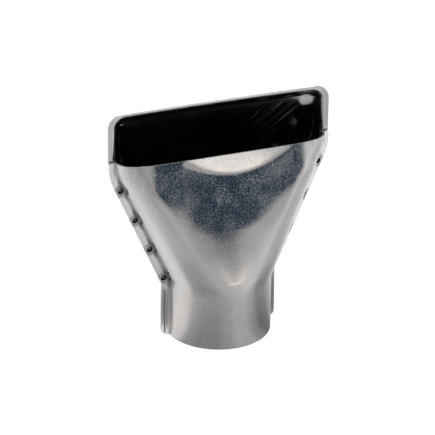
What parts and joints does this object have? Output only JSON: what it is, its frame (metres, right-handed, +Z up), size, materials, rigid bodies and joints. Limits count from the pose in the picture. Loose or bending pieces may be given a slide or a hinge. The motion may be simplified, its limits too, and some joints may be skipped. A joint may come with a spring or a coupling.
{
  "type": "hot air gun deflector nozzle",
  "caption": "Wide-slot deflector nozzle for a hot-air gun: two pressed sheet-steel half shells, clinched along side flanges, round push-on collar below, open deflector window above.",
  "frame": {"origin": "on the axis of the collar bore, in the plane of its open lower end", "axes": "+Z up the collar axis towards the slot, +X across the width of the slot, -Y the side that the deflector window opens to; the two shells meet in the plane Y = 0"},
  "size_m": [0.076, 0.035, 0.0819],
  "materials": {
    "shell_front": "bright drawn steel sheet, satin with fine scuffs",
    "shell_rear": "bright drawn steel sheet, satin with fine scuffs",
    "clinch": "pressed steel, darker in the pit"
  },
  "bodies": {
    "root": {"front_shell": "shell_front", "rear_shell": "shell_rear", "clinch_joints_right": "clinch", "clinch_joints_left": "clinch"}
  },
  "joints": []
}
